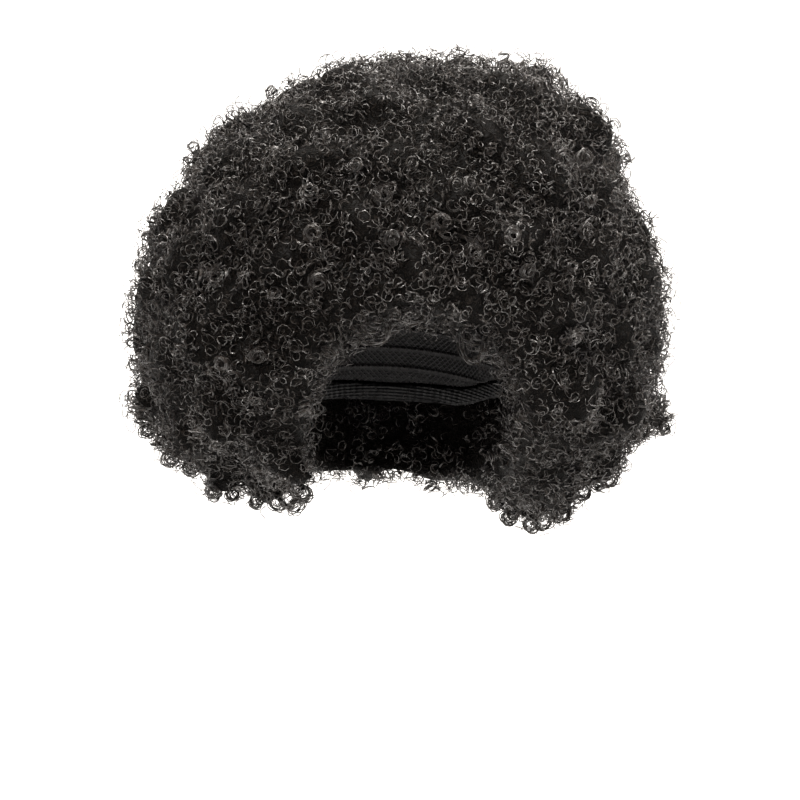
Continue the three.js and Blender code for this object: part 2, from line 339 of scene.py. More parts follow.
def scattered(sketch, ground, size):
    """A point for each curl, spread over the surface, with the curl's axis, coil and tone."""
    # Points are thrown down three times as thickly as they are kept, and those that lie too close
    # go, so that the curls are spread evenly: each keeps this share of its own patch clear.
    thrown = 3.0
    clear = 0.42
    scatter = {
        "Mesh": ground,
        "Density Max": size["Density"] * thrown,
        "Distance Min": sketch.maths("SQRT", clear / size["Density"]),
        "Density Factor": sketch.kept("cover"),
        "Seed": sketch.seed,
    }
    points = sketch.add(
        "GeometryNodeDistributePointsOnFaces", {"distribute_method": "POISSON"}, scatter
    )
    up = points.of("Normal")
    aside = sketch.chance((-1, -1, -1), (1, 1, 1), 1, "FLOAT_VECTOR")
    hang = sketch.add("ShaderNodeCombineXYZ", None, {"Z": size["Hang"] * -1})
    lean = aside + hang
    lay = sketch.unit(lean - up * sketch.dot(lean, up))
    tilt = sketch.chance(size["Tilt low"], size["Tilt high"], 2)
    axis = lay * sketch.maths("COSINE", tilt) + up * sketch.maths("SINE", tilt)
    side = sketch.cross(up, lay)
    place = sketch.add("GeometryNodeInputPosition")
    points = sketch.keep(points, "root", place - up * size["Sink"], "FLOAT_VECTOR")
    points = sketch.keep(points, "axis", axis, "FLOAT_VECTOR")
    points = sketch.keep(points, "side", side, "FLOAT_VECTOR")
    points = sketch.keep(points, "reach", sketch.chance(size["Length low"], size["Length high"], 3))
    points = sketch.keep(points, "coil", sketch.chance(size["Radius low"], size["Radius high"], 4))
    points = sketch.keep(points, "phase", sketch.chance(0.0, math.tau, 5))
    hand = sketch.maths("SIGN", sketch.chance(-1.0, 1.0, 6))
    turns = sketch.chance(size["Turns low"], size["Turns high"], 7)
    points = sketch.keep(points, "sweep", hand * turns * math.tau)
    return sketch.keep(points, "tone", sketch.chance(0.05, 0.95, 8))


def bunched(sketch, points, size):
    """A point for each strand of each curl, set a little apart from the others of its curl."""
    # Roots part by this share of the spread, phases by so many radians for each metre of it, and
    # tones by so much for each metre, up to a limit.
    root_spread = 0.5
    phase_spread = 400.0
    tone_spread = 200.0
    tone_limit = 0.3
    bunch = sketch.add(
        "GeometryNodeDuplicateElements",
        {"domain": "POINT"},
        {"Geometry": points, "Amount": size["Strands"]},
    )
    loose = size["Spread"]
    each = sketch.chance((-1, -1, -1), (1, 1, 1), 9, "FLOAT_VECTOR")
    root = sketch.kept("root", "FLOAT_VECTOR") + each * (loose * root_spread)
    bunch = sketch.keep(bunch, "root", root, "FLOAT_VECTOR")
    bunch = sketch.keep(bunch, "coil", sketch.kept("coil") + sketch.chance(-1.0, 1.0, 10) * loose)
    phase = sketch.kept("phase") + sketch.chance(-1.0, 1.0, 11) * loose * phase_spread
    bunch = sketch.keep(bunch, "phase", phase)
    fade = sketch.maths("MINIMUM", loose * tone_spread, tone_limit)
    return sketch.keep(bunch, "tone", sketch.kept("tone") + sketch.chance(-1.0, 1.0, 12) * fade)


def coiled(sketch, bunch, size):
    """A strand on each point: it opens out from the root and winds round its curl's axis."""
    line = sketch.add("GeometryNodeCurvePrimitiveLine")
    line = sketch.add("GeometryNodeResampleCurve", None, {"Curve": line, "Count": size["Steps"]})
    strands = sketch.add("GeometryNodeInstanceOnPoints", None, {"Points": bunch, "Instance": line})
    strands = sketch.add("GeometryNodeRealizeInstances", None, {"Geometry": strands})
    along = sketch.add("GeometryNodeSplineParameter")
    strands = sketch.keep(strands, "along", along)
    opening = sketch.add(
        "ShaderNodeMapRange",
        {"interpolation_type": "SMOOTHSTEP"},
        {"Value": along, "From Min": 0.0, "From Max": 0.35, "To Min": 0.3, "To Max": 1.0},
    )
    coil = sketch.kept("coil") * opening * (1.0 - size["Cone"] * along)
    turn = sketch.kept("phase") + sketch.kept("sweep") * along
    axis = sketch.kept("axis", "FLOAT_VECTOR")
    side = sketch.kept("side", "FLOAT_VECTOR")
    rise = sketch.cross(axis, side)
    path = sketch.kept("root", "FLOAT_VECTOR") + axis * (sketch.kept("reach") * along)
    path = path + side * (coil * sketch.maths("COSINE", turn))
    path = path + rise * (coil * sketch.maths("SINE", turn))
    crimp = sketch.add("ShaderNodeTexNoise", None, {"Vector": path, "Scale": 170.0, "Detail": 1.0})
    shift = crimp.of("Color") - (0.5, 0.5, 0.5)
    path = path + shift * (size["Crimp"] * 2.0)
    return sketch.add("GeometryNodeSetPosition", None, {"Geometry": strands, "Position": path})


def curl_tree(material):
    """Strands that curl out of a surface, in bunches that share an axis."""
    tree = bpy.data.node_groups.new("Curl strands", "GeometryNodeTree")
    face = tree.interface
    face.new_socket("Surface", in_out="INPUT", socket_type="NodeSocketGeometry")
    for name, kind in CURL_SIZES:
        face.new_socket(name, in_out="INPUT", socket_type=kind)
    face.new_socket("Strands", in_out="OUTPUT", socket_type="NodeSocketGeometry")
    sketch = CurlSketch(tree)
    given = sketch.add("NodeGroupInput")
    size = {name: given.of(name) for name, _ in CURL_SIZES}
    sketch.seed = size["Seed"]
    points = scattered(sketch, given.of("Surface"), size)
    strands = coiled(sketch, bunched(sketch, points, size), size)
    drop = ("root", "axis", "side", "reach", "coil", "phase", "sweep")
    tubes = sketch.tubes(strands, size["Thickness"], drop, material)
    sketch.add("NodeGroupOutput", None, {"Strands": tubes})
    return tree


def route_tree(material):
    """Strands along the edges of a mesh, rounded off at its corners."""
    tree = bpy.data.node_groups.new("Loose strands", "GeometryNodeTree")
    face = tree.interface
    face.new_socket("Routes", in_out="INPUT", socket_type="NodeSocketGeometry")
    face.new_socket("Steps", in_out="INPUT", socket_type="NodeSocketInt")
    face.new_socket("Thickness", in_out="INPUT", socket_type="NodeSocketFloat")
    face.new_socket("Strands", in_out="OUTPUT", socket_type="NodeSocketGeometry")
    sketch = CurlSketch(tree)
    given = sketch.add("NodeGroupInput")
    strands = sketch.add("GeometryNodeMeshToCurve", None, {"Mesh": given})
    strands = sketch.add(
        "GeometryNodeCurveSplineType", {"spline_type": "CATMULL_ROM"}, {"Curve": strands}
    )
    rows = {"Curve": strands, "Count": given.of("Steps")}
    strands = sketch.add("GeometryNodeResampleCurve", None, rows)
    tubes = sketch.tubes(strands, given.of("Thickness"), (), material)
    sketch.add("NodeGroupOutput", None, {"Strands": tubes})
    return tree


# The hair

# Where the hair stands out further than its locks, seen from the front: the middle of each
# swell and half its width, in degrees round from the top to the wearer's left, and its height.
FULLER = (
    {"round": -110, "spread": 11, "rise": 0.008},
    {"round": -74, "spread": 10, "rise": 0.005},
    {"round": -46, "spread": 13, "rise": 0.007},
    {"round": -12, "spread": 14, "rise": 0.006},
    {"round": 20, "spread": 16, "rise": 0.006},
    {"round": 62, "spread": 12, "rise": 0.004},
    {"round": 82, "spread": 9, "rise": 0.003},
    {"round": 100, "spread": 7, "rise": 0.005},
    {"round": 112, "spread": 20, "rise": 0.007},
    {"round": 138, "spread": 13, "rise": 0.018},
)


def merged_copy(node):
    """A node's mesh with its corners merged, as its own object."""
    mesh = node.data.copy()
    copy = bpy.data.objects.new(node.name + "_copy", mesh)
    bpy.context.scene.collection.objects.link(copy)
    same_place = 1e-5
    weld = copy.modifiers.new("Weld", "WELD")
    weld.merge_threshold = same_place
    return copy


def settled(thing):
    """The object with its modifiers made real."""
    graph = bpy.context.evaluated_depsgraph_get()
    mesh = bpy.data.meshes.new_from_object(thing.evaluated_get(graph), depsgraph=graph)
    thing.modifiers.clear()
    old = thing.data
    thing.data = mesh
    if old.users == 0:
        bpy.data.meshes.remove(old)
    return thing


def joined(name, things):
    """One object made of several, at the origin."""
    with bpy.context.temp_override(
        active_object=things[0], selected_objects=things, selected_editable_objects=things
    ):
        bpy.ops.object.join()
    things[0].name = name
    things[0].data.name = name
    return things[0]


def fuller(at):
    """How far this place of the outer surface moves out to the outline that the curls keep."""
    # What is nearer to the head's middle than this stays still, and past the ramp it moves in full.
    still = 0.10
    ramp = 0.05
    out = at - HEAD_CENTRE
    reach = math.hypot(out.x, out.z)
    outer = min(max((reach - still) / ramp, 0.0), 1.0)
    turn = math.degrees(math.atan2(out.x, out.z))
    rise = sum(
        swell["rise"] * math.exp(-(((turn - swell["round"]) / swell["spread"]) ** 2))
        for swell in FULLER
    )
    return Vector((out.x, 0.0, out.z)).normalized() * (rise * outer)


def fleece_body(sizes):
    """The six sections as one seamless body, shrunk to lie under the curls."""
    # Each section swells by this much first, so that neighbours meet and fuse.
    seam = 0.0008
    copies = []
    for name in HAIR_SECTIONS:
        copy = merged_copy(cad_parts[name])
        swell = copy.modifiers.new("Swell", "DISPLACE")
        swell.strength = seam
        swell.mid_level = 0.0
        copies.append(settled(copy))
    body = joined("fleece", copies)
    for name, kind, settings in (
        ("Fuse", "REMESH", {"mode": "VOXEL", "voxel_size": sizes.grain}),
        ("Round", "SMOOTH", {"iterations": 3, "factor": 0.5}),
        ("Sink", "DISPLACE", {"strength": -sizes.sink - seam, "mid_level": 0.0}),
        ("Mend", "REMESH", {"mode": "VOXEL", "voxel_size": sizes.grain}),
        ("Ease", "SMOOTH", {"iterations": 4, "factor": 0.5}),
    ):
        modifier = body.modifiers.new(name, kind)
        for key, value in settings.items():
            setattr(modifier, key, value)
    settled(body)
    for corner in body.data.vertices:
        corner.co += fuller(corner.co)
    body.data.shade_smooth()
    return body


def tree_of(nodes):
    """A search tree over the faces of these nodes."""
    corners = []
    faces = []
    for node in nodes:
        start = len(corners)
        corners += [v.co.copy() for v in node.data.vertices]
        faces += [[start + i for i in f.vertices] for f in node.data.polygons]
    return BVHTree.FromPolygons(corners, faces)


# How thickly the curls grow: on what faces the neck, in front, behind, and how much more there is
# on what faces down. The front ends at this depth.
COVER = {"inside": 0.25, "front": 0.85, "back": 0.65, "below": 0.4}
FRONT_END = 0.03

# The room for the neck. Curls grow thinly on the faces round it that look at it.
NECK = {"half_width": 0.085, "front": -0.07, "back": 0.08, "bottom": -0.18}

# None grow on the faces that look at the head, this near to its middle and above the cap's edge.
HEAD_RADIUS = 0.092
CAP_EDGE = -0.09


def cover_of(at, way, inward):
    """How thickly the curls grow at this place, which faces this way and so much inward."""
    facing_neck = 0.2
    sloping = 0.2
    beside = abs(at.x) < NECK["half_width"] and NECK["front"] < at.y < NECK["back"]
    if beside and at.z > NECK["bottom"] and inward > facing_neck:
        cover = COVER["inside"]
    elif at.y < FRONT_END:
        cover = COVER["front"]
    else:
        cover = COVER["back"]
    return min(cover + COVER["below"] * max(-way.z - sloping, 0.0), 1.0)


def sections_of(body):
    """The numbers of the fleece's faces in each section, and how thickly each face grows curls."""
    cap = tree_of([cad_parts[name] for name in ("cap", "rim_band")])
    near = {name: tree_of([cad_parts[name]]) for name in HAIR_SECTIONS}
    buried = 0.022
    facing_head = 0.5
    found = {name: [] for name in HAIR_SECTIONS}
    for face in body.data.polygons:
        at = face.center
        way = face.normal
        if cap.ray_cast(at, way, buried)[0] is not None:
            continue
        centre_way = HEAD_CENTRE - at
        inward = way.dot(centre_way.normalized())
        if inward > facing_head and centre_way.length < HEAD_RADIUS and at.z > CAP_EDGE:
            continue
        name = min(near, key=lambda key: near[key].find_nearest(at)[3])
        found[name].append((face.index, cover_of(at, way, inward)))
    return found


def patch(body, name, faces):
    """Part of the fleece as a surface for curls, with its cover on its faces."""
    mesh = bpy.data.meshes.new(name)
    used = sorted({v for index, _ in faces for v in body.data.polygons[index].vertices})
    place = {old: new for new, old in enumerate(used)}
    mesh.from_pydata(
        [body.data.vertices[v].co for v in used],
        [],
        [[place[v] for v in body.data.polygons[index].vertices] for index, _ in faces],
    )
    cover = mesh.attributes.new("cover", "FLOAT", "FACE")
    cover.data.foreach_set("value", [amount for _, amount in faces])
    mesh.update()
    return mesh


# The kinds of curl. Lengths are in metres, angles in radians and densities in curls a square metre.
# Fibres and arcs fill the mass, frizz stands up from it, and ringlets are bunches of strands.
CURLS = {
    "fibres": {
        "Density": 12000.0,
        "Strands": 2,
        "Steps": 9,
        "Turns low": 0.8,
        "Turns high": 1.5,
        "Radius low": 0.0022,
        "Radius high": 0.0048,
        "Length low": 0.004,
        "Length high": 0.011,
        "Tilt low": 0.0,
        "Tilt high": 0.8,
        "Sink": -0.0015,
        "Hang": 0.3,
        "Cone": 0.3,
        "Thickness": 0.0008,
        "Spread": 0.0008,
        "Crimp": 0.0011,
    },
    "arcs": {
        "Density": 14000.0,
        "Strands": 1,
        "Steps": 7,
        "Turns low": 0.4,
        "Turns high": 0.9,
        "Radius low": 0.0020,
        "Radius high": 0.0042,
        "Length low": 0.001,
        "Length high": 0.006,
        "Tilt low": 0.3,
        "Tilt high": 1.4,
        "Sink": -0.0015,
        "Hang": 0.2,
        "Cone": 0.2,
        "Thickness": 0.0008,
        "Spread": 0.0,
        "Crimp": 0.0008,
    },
    "frizz": {
        "Density": 16000.0,
        "Strands": 1,
        "Steps": 10,
        "Turns low": 0.9,
        "Turns high": 1.6,
        "Radius low": 0.0024,
        "Radius high": 0.0052,
        "Length low": 0.003,
        "Length high": 0.012,
        "Tilt low": 0.2,
        "Tilt high": 1.4,
        "Sink": -0.0045,
        "Hang": 0.15,
        "Cone": 0.2,
        "Thickness": 0.0006,
        "Spread": 0.0,
        "Crimp": 0.0011,
    },
    "ringlets": {
        "Density": 420.0,
        "Strands": 4,
        "Steps": 24,
        "Turns low": 1.6,
        "Turns high": 2.6,
        "Radius low": 0.0045,
        "Radius high": 0.0075,
        "Length low": 0.004,
        "Length high": 0.012,
        "Tilt low": 0.2,
        "Tilt high": 1.5,
        "Sink": -0.004,
        "Hang": 0.6,
        "Cone": 0.6,
        "Thickness": 0.0008,
        "Spread": 0.0016,
        "Crimp": 0.0006,
    },
}


def with_tree(part, tree, values):
    """The part as what this tree makes of it."""
    sockets = {
        item.name: item.identifier
        for item in tree.interface.items_tree
        if item.in_out == "INPUT"
    }
    modifier = part.modifiers.new(tree.name, "NODES")
    modifier.node_group = tree
    for name, value in values.items():
        modifier[sockets[name]] = value
    return settled(part)


# Each section, and each kind of curl in it, has a seed of its own, so far from the last one.
SECTION_SEEDS = 211
KIND_SEEDS = 31


def grown(name, mesh, tree, sizes, seed):
    """Every kind of curl on a surface, as one piece."""
    parts = []
    for step, (kind, values) in enumerate(CURLS.items()):
        part = bpy.data.objects.new(f"{name}_{kind}", mesh.copy())
        bpy.context.scene.collection.objects.link(part)
        own = {
            "Seed": seed + KIND_SEEDS * step,
            "Density": values["Density"] * sizes.density,
            "Thickness": values["Thickness"] * sizes.thickness,
        }
        parts.append(with_tree(part, tree, {**values, **own}))
    return joined(name, parts)


# The loose curls over the forehead: the middle of each bunch from root to tip, how many strands
# it has and how far they stray from the middle.
LOOSE_CURLS = (
    {
        "strands": 7,
        "stray": 0.0012,
        "route": (
            (-0.0420, -0.124, -0.0434),
            (-0.0344, -0.129, -0.0489),
            (-0.0250, -0.131, -0.0530),
            (-0.0240, -0.130, -0.0610),
            (-0.0290, -0.128, -0.0670),
            (-0.0366, -0.124, -0.0670),
            (-0.0450, -0.121, -0.0683),
        ),
    },
    {
        "strands": 8,
        "stray": 0.0011,
        "route": (
            (0.0290, -0.118, -0.0500),
            (0.0235, -0.124, -0.0580),
            (0.0232, -0.126, -0.0670),
            (0.0268, -0.126, -0.0745),
            (0.0325, -0.124, -0.0770),
            (0.0375, -0.122, -0.0725),
            (0.0380, -0.121, -0.0655),
            (0.0330, -0.121, -0.0610),
            (0.0280, -0.123, -0.0640),
            (0.0285, -0.124, -0.0700),
        ),
    },
    {
        "strands": 7,
        "stray": 0.0013,
        "route": (
            (-0.0171, -0.124, -0.0434),
            (-0.0150, -0.130, -0.0490),
            (-0.0083, -0.131, -0.0520),
            (-0.0015, -0.129, -0.0485),
            (0.0010, -0.123, -0.0429),
        ),
    },
)


# Open ringlets that hang from the lower edge: the middle of each one's rings and their radius.
EDGE_RINGLETS = (
    ((0.1712, -0.034, -0.1331), 0.0046),
    ((0.1568, -0.038, -0.1362), 0.0048),
    ((0.1369, -0.041, -0.1668), 0.0054),
    ((0.1301, -0.040, -0.1714), 0.0046),
    ((0.1221, -0.030, -0.1783), 0.0058),
    ((0.1087, -0.034, -0.1935), 0.0064),
    ((0.1009, -0.005, -0.2068), 0.0064),
    ((0.0924, -0.005, -0.2106), 0.0054),
    ((0.0783, -0.002, -0.2058), 0.0054),
    ((0.0705, 0.010, -0.1995), 0.0050),
    ((-0.0602, 0.002, -0.1971), 0.0058),
    ((-0.0639, 0.000, -0.2043), 0.0062),
    ((-0.0661, -0.012, -0.1905), 0.0054),
    ((-0.0706, -0.005, -0.1985), 0.0058),
    ((-0.0780, -0.010, -0.2003), 0.0062),
    ((-0.0917, -0.006, -0.2013), 0.0048),
    ((-0.1076, -0.026, -0.1929), 0.0042),
    ((-0.1214, -0.026, -0.1922), 0.0048),
    ((-0.1373, -0.025, -0.1756), 0.0060),
    ((-0.1501, -0.046, -0.1658), 0.0054),
    ((-0.1658, 0.002, -0.1583), 0.0048),
)


# Wide ringlets that lie on the front of the hair, coiled flat.
FLAT_RINGLETS = (
    ((-0.1297, -0.0877, -0.0359), 0.0084),
    ((-0.0751, -0.0980, 0.0212), 0.0064),
    ((-0.0317, -0.1147, 0.0234), 0.0062),
    ((-0.0694, -0.1263, -0.0300), 0.0062),
    ((0.0048, -0.1246, 0.0107), 0.0074),
    ((0.0256, -0.1311, -0.0056), 0.0062),
    ((0.0485, -0.1346, 0.0061), 0.0062),
    ((0.1019, -0.0928, 0.0039), 0.0062),
)


# How the ringlets of each table are coiled: how many turns they make, the share of their radius
# that they lose on the way, how many strands they have and how far those stray.
EDGE_COIL = {"turns": 1.8, "narrowing": 0.35, "strands": 7, "stray": 0.0009}
FLAT_COIL = {"turns": 2.3, "narrowing": 0.65, "strands": 6, "stray": 0.0005}


def ringlet(middle, radius, facing, coil, chance):
    """A bunch that comes out of the hair above and goes round the rings, open along facing."""
    steps = 18
    length = 0.005
    # How much the axis strays, and how far above the rings and beside them the strands come out.
    lean = 0.3
    above = 0.003
    aside = 0.008
    axis = facing + np.array((chance.normal(0.0, lean), 0.0, chance.normal(0.0, lean)))
    axis /= np.linalg.norm(axis)
    side = np.cross(axis, (0.0, 0.0, 1.0)) * chance.choice((-1.0, 1.0))
    side /= np.linalg.norm(side)
    rise = np.cross(side, axis)
    rise *= np.sign(rise[2])
    route = [middle + rise * (radius + above) - side * aside - axis * length / 2]
    for step in range(steps):
        share = step / (steps - 1)
        angle = math.tau * coil["turns"] * share
        reach = radius * (1.0 - coil["narrowing"] * share)
        out = rise * math.cos(angle) + side * math.sin(angle)
        route.append(middle + out * reach + axis * (length * (share - 0.5)))
    return {"strands": coil["strands"], "stray": coil["stray"], "route": route}


def loose_curls(tree, sizes):
    """The bunches of LOOSE_CURLS, EDGE_RINGLETS and FLAT_RINGLETS as one piece."""
    steps = 40
    thickness = 0.0008
    chance = np.random.default_rng(sizes.seed)
    turned = np.random.default_rng(sizes.seed + 1)
    front = np.array((0.0, -1.0, 0.0))
    bunches = list(LOOSE_CURLS)
    for middle, radius in EDGE_RINGLETS:
        bunches.append(ringlet(np.array(middle), radius, -front, EDGE_COIL, turned))
    for middle, radius in FLAT_RINGLETS:
        outward = np.array((Vector(middle) - HEAD_CENTRE).normalized())
        bunches.append(ringlet(np.array(middle), radius, outward + front, FLAT_COIL, turned))
    corners = []
    edges = []
    tones = []
    for curl in bunches:
        for _ in range(curl["strands"]):
            aside = chance.normal(0.0, curl["stray"], 3)
            start = len(corners)
            for place in curl["route"]:
                corners.append(np.array(place) + aside + chance.normal(0.0, curl["stray"] / 2, 3))
            edges += [(i, i + 1) for i in range(start, len(corners) - 1)]
            tones += [chance.uniform(0.2, 0.9)] * len(curl["route"])
    mesh = bpy.data.meshes.new("loose_curls")
    mesh.from_pydata(corners, edges, [])
    mesh.attributes.new("tone", "FLOAT", "POINT").data.foreach_set("value", tones)
    part = bpy.data.objects.new("loose_curls", mesh)
    bpy.context.scene.collection.objects.link(part)
    return with_tree(part, tree, {"Steps": steps, "Thickness": thickness * sizes.thickness})


# Finishes


def finish(name):
    """A material with an empty tree, and the sketch to fill it with."""
    material = bpy.data.materials.new(name)
    material.use_nodes = True
    material.node_tree.nodes.clear()
    return material, Sketch(material.node_tree)


def surface(sketch, sockets):
    """Ends the material's tree in a Principled shader with these values and links."""
    shader = sketch.add("ShaderNodeBsdfPrincipled", None, sockets)
    sketch.add("ShaderNodeOutputMaterial", None, {"Surface": shader})


# The Mix node's sockets for colours: the places of the two inputs and of the result.
MIX_LOW = 6
MIX_HIGH = 7
MIX_RESULT = 2


def mixed(sketch, share, low, high):
    """A colour between two others."""
    inputs = {"Factor": share, MIX_LOW: low, MIX_HIGH: high}
    return sketch.add("ShaderNodeMix", {"data_type": "RGBA"}, inputs, MIX_RESULT)


def opaque(colour):
    """The colour with an alpha of 1, as sockets take it."""
    return (*colour, 1.0)


def fibre_finish(sizes):
    """Black fibre that shines in dashes. Each strand has its own tone, from its place on the chart, with
    painted shade towards its root and in the hollows between clumps.
    """
    made = bpy.data.materials.get("Hair fibre")
    if made is not None:
        return made
    material, sketch = finish("Hair fibre")
    chart = sketch.add("ShaderNodeUVMap", {"uv_map": "OFBake"})
    parts = sketch.add("ShaderNodeSeparateXYZ", None, {"Vector": chart})
    tone = parts.of("X")
    # Painted shade: strands darken towards their roots, deep in the mass of hair, over about the first
    # two fifths of their length.
    root = sketch.maths("SMOOTH_MIN", parts.of("Y") * 2.5, 1.0, 0.4)
    place = sketch.add("ShaderNodeTexCoord").of("Object")
    # Painted shade: a noise of clump size darkens the strands in the hollows between clumps, down to
    # three tenths of their tone, and halves their coat there.
    clump = sketch.add("ShaderNodeTexNoise", None, {"Vector": place, "Scale": 42.0, "Detail": 1.0})
    painted_clump_shade = sketch.add(
        "ShaderNodeMapRange",
        {"interpolation_type": "SMOOTHSTEP"},
        {"Value": clump, "From Min": 0.38, "From Max": 0.62},
    )
    # Each strand's own tone, darkened by the painted shade at its root and between clumps.
    share = tone**2.0 * root * (painted_clump_shade * 0.7 + 0.3)
    dashes = sketch.add("ShaderNodeTexNoise", None, {"Vector": place, "Scale": 330.0, "Detail": 0.0})
    gloss = sketch.add(
        "ShaderNodeMapRange",
        {"interpolation_type": "SMOOTHSTEP"},
        {"Value": dashes, "From Min": 0.42, "From Max": 0.60, "To Min": 0.1, "To Max": 1.0},
    )
    colour = mixed(sketch, share, opaque(sizes.dark), opaque(sizes.light))
    surface(
        sketch,
        {
            "Base Color": colour,
            "Roughness": 0.5,
            "Coat Weight": gloss * (painted_clump_shade * 0.5 + 0.5),
            "Coat Roughness": 0.28,
            "Coat IOR": 1.9,
            "Specular IOR Level": 0.3,
            "Specular Tint": (1.0, 0.90, 0.82, 1.0),
        },
    )
    return material


def arcs(sketch, place, cells, spacing):
    """Broken rings of strands round scattered points: 1 on a strand, 0 between strands."""
    bend = sketch.add("ShaderNodeTexNoise", None, {"Vector": place, "Scale": cells * 1.7, "Detail": 1.0})
    bent = place + (bend.of("Color") - (0.5, 0.5, 0.5)) * (0.9 / cells)
    points = sketch.add("ShaderNodeTexVoronoi", None, {"Vector": bent, "Scale": cells})
    rings = sketch.maths("SINE", points * (math.tau / spacing / cells)) * 0.5 + 0.5
    gate = sketch.add("ShaderNodeTexNoise", None, {"Vector": bent, "Scale": cells * 2.6, "Detail": 1.0})
    shown = sketch.add(
        "ShaderNodeMapRange",
        {"interpolation_type": "SMOOTHSTEP"},
        {"Value": gate, "From Min": 0.36, "From Max": 0.62},
    )
    return rings**4.0 * shown


def fleece_finish():
    """The depth of the hair: arcs of curls that lie over each other, raised as bumps and lighter as
    painted highlights, over a near-black of painted shade between them.
    """
    material, sketch = finish("Deep curls")
    place = sketch.add("ShaderNodeTexCoord").of("Object")
    elsewhere = (0.37, 0.11, 0.23)
    wide = arcs(sketch, place, cells=95.0, spacing=0.0021)
    fine = arcs(sketch, place + elsewhere, cells=150.0, spacing=0.0018)
    strands = sketch.maths("MAXIMUM", wide, fine * 0.8)
    bump = sketch.add(
        "ShaderNodeBump", None, {"Strength": 1.0, "Distance": 1.0, "Height": strands * 0.0013}
    )
    # Painted shade and highlights: the near-black between the arcs stands for the shade deep in the
    # hair, and the lighter arcs for highlights on the curls there.
    colour = mixed(sketch, strands, (0.0006, 0.0005, 0.0004, 1.0), (0.010, 0.0080, 0.0066, 1.0))
    surface(
        sketch,
        {"Base Color": colour, "Roughness": 0.5, "Specular IOR Level": 0.05, "Normal": bump},
    )
    return material


def fabric_place(sketch):
    """Metres round the head and metres up, for a fabric that lies round it."""
    parts = sketch.add(
        "ShaderNodeSeparateXYZ", None, {"Vector": sketch.add("ShaderNodeTexCoord").of("Object")}
    )
    head_radius = 0.085
    around = sketch.maths("ARCTAN2", parts, parts.of("Y")) * head_radius
    return around, parts.of("Z")


def ridges(sketch, length, spacing, sharpness):
    """Thin ridges across a length, one at each spacing."""
    wave = sketch.maths("SINE", length * (math.tau / spacing)) * 0.5 + 0.5
    return wave**sharpness


def net_finish(sizes):
    """Black stretch net in small diamonds, with rows of sewn wefts."""
    material, sketch = finish("Stretch net")
    around, up = fabric_place(sketch)
    threads = sketch.maths(
        "MAXIMUM",
        ridges(sketch, around + up, sizes.net, 4.0),
        ridges(sketch, around - up, sizes.net, 4.0),
    )
    weft = ridges(sketch, up, sizes.weft, 9.0)
    stitches = ridges(sketch, around, 0.0022, 2.0) * weft
    height = threads * 0.0005 + weft * 0.0022 + stitches * 0.0007
    bump = sketch.add("ShaderNodeBump", None, {"Strength": 1.0, "Distance": 1.0, "Height": height})
    share = sketch.maths("MAXIMUM", threads * 0.55, weft * 0.8)
    colour = mixed(sketch, share, (0.0030, 0.0030, 0.0032, 1.0), (0.034, 0.033, 0.034, 1.0))
    surface(
        sketch,
        {"Base Color": colour, "Roughness": 0.6, "Specular IOR Level": 0.3, "Normal": bump},
    )
    return material


def elastic_finish(sizes):
    """Ribbed black elastic, with fine gathers round it."""
    material, sketch = finish("Ribbed elastic")
    around, up = fabric_place(sketch)
    ribs = ridges(sketch, up, sizes.rib, 1.0)
    gathers = ridges(sketch, around, 0.0046, 1.5)
    height = ribs * 0.0006 + gathers * 0.0007
    bump = sketch.add("ShaderNodeBump", None, {"Strength": 1.0, "Distance": 1.0, "Height": height})
    share = ribs * 0.6 + gathers * 0.3
    colour = mixed(sketch, share, (0.0035, 0.0035, 0.0038, 1.0), (0.026, 0.026, 0.027, 1.0))
    surface(
        sketch,
        {"Base Color": colour, "Roughness": 0.6, "Specular IOR Level": 0.35, "Normal": bump},
    )
    return material


# Operators


class WIG_OT_fleece(bpy.types.Operator):
    """Make the dark body of hair that the curls grow on"""

    bl_idname = "wig.fleece"
    bl_label = "Fleece"

    def execute(self, context):
        fleece = fleece_body(context.scene.wig_hair)
        fleece.data.materials.clear()
        fleece.data.materials.append(fleece_finish())
        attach(fleece, "root")
        return {"FINISHED"}


class WIG_OT_curls(bpy.types.Operator):
    """Grow the curls of each section on the fleece"""

    bl_idname = "wig.curls"
    bl_label = "Curls"

    def execute(self, context):
        sizes = context.scene.wig_hair
        fleece = bpy.data.objects["fleece"]
        tree = curl_tree(fibre_finish(sizes))
        for step, (name, faces) in enumerate(sections_of(fleece).items()):
            mesh = patch(fleece, name + "_surface", faces)
            seed = sizes.seed + SECTION_SEEDS * step
            curls = grown(name.replace("_hair", "_curls"), mesh, tree, sizes, seed)
            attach(curls, "root")
            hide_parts(name)
        return {"FINISHED"}


class WIG_OT_loose_curls(bpy.types.Operator):
    """Lay the loose curls on the forehead, the front and the lower edge"""

    bl_idname = "wig.loose_curls"
    bl_label = "Loose curls"

    def execute(self, context):
        sizes = context.scene.wig_hair
        loose = loose_curls(route_tree(fibre_finish(sizes)), sizes)
        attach(loose, "root")
        return {"FINISHED"}


def smooth_copy(node, piece, material):
    """The piece that stands for a CAD node: its shape, one step smoother."""
    copy = merged_copy(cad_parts[node])
    smooth = copy.modifiers.new("Smooth", "SUBSURF")
    smooth.levels = 1
    smooth.render_levels = 1
    settled(copy)
    copy.name = piece
    copy.data.name = piece
    copy.data.shade_smooth()
    copy.data.materials.clear()
    copy.data.materials.append(material)
    return copy


class WIG_OT_cap(bpy.types.Operator):
    """Finish the net cap"""

    bl_idname = "wig.cap"
    bl_label = "Net cap"

    def execute(self, context):
        cap = smooth_copy("cap", "net_cap", net_finish(context.scene.wig_cap))
        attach(cap, "root")
        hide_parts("cap")
        return {"FINISHED"}


